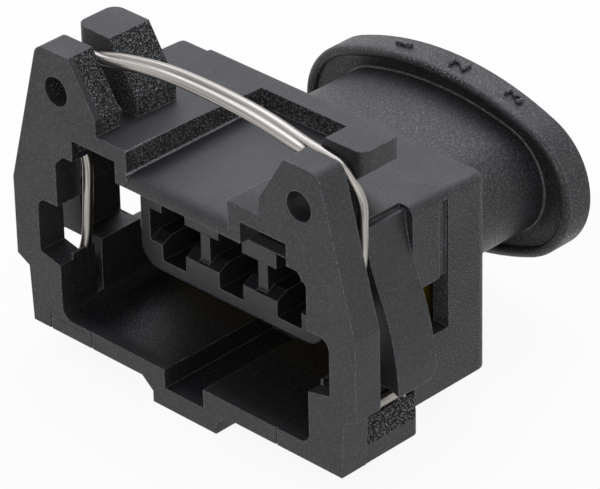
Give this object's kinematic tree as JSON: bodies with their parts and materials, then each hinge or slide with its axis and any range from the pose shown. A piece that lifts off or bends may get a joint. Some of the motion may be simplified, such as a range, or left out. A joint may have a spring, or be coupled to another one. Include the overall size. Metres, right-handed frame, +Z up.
{
  "type": "connector housing",
  "caption": "Moulded plug housing for crimp contacts, with ears and a bent wire spring clip, a contact block, a sealing ring and an oval collar for a rubber boot.",
  "frame": {"origin": "middle of the bounding box, on its lowest plane, which is the bottom of the key rib that the part rests on", "axes": "+X across the row of contacts, +Y from the mating mouth back to the wire outlet, +Z up from the key rib to the spring clip's bow"},
  "size_m": [0.0298, 0.0252, 0.0218],
  "materials": {
    "housing_plastic": "black glass-filled moulding, spark-eroded texture on the rear faces",
    "seal_rubber": "ochre yellow silicone, satin",
    "spring_wire": "drawn stainless spring wire, bright"
  },
  "bodies": {
    "housing": {"housing": "housing_plastic", "interface_seal": "seal_rubber"},
    "spring_clip": {"spring_clip": "spring_wire"}
  },
  "joints": [
    {"name": "clip_press", "type": "slide", "parent": "housing", "child": "spring_clip", "axis": [0, 0, -1], "range_m": [0, 0.0018], "stiffness_N_per_m": 3000, "deforming": ["spring_clip"]}
  ]
}
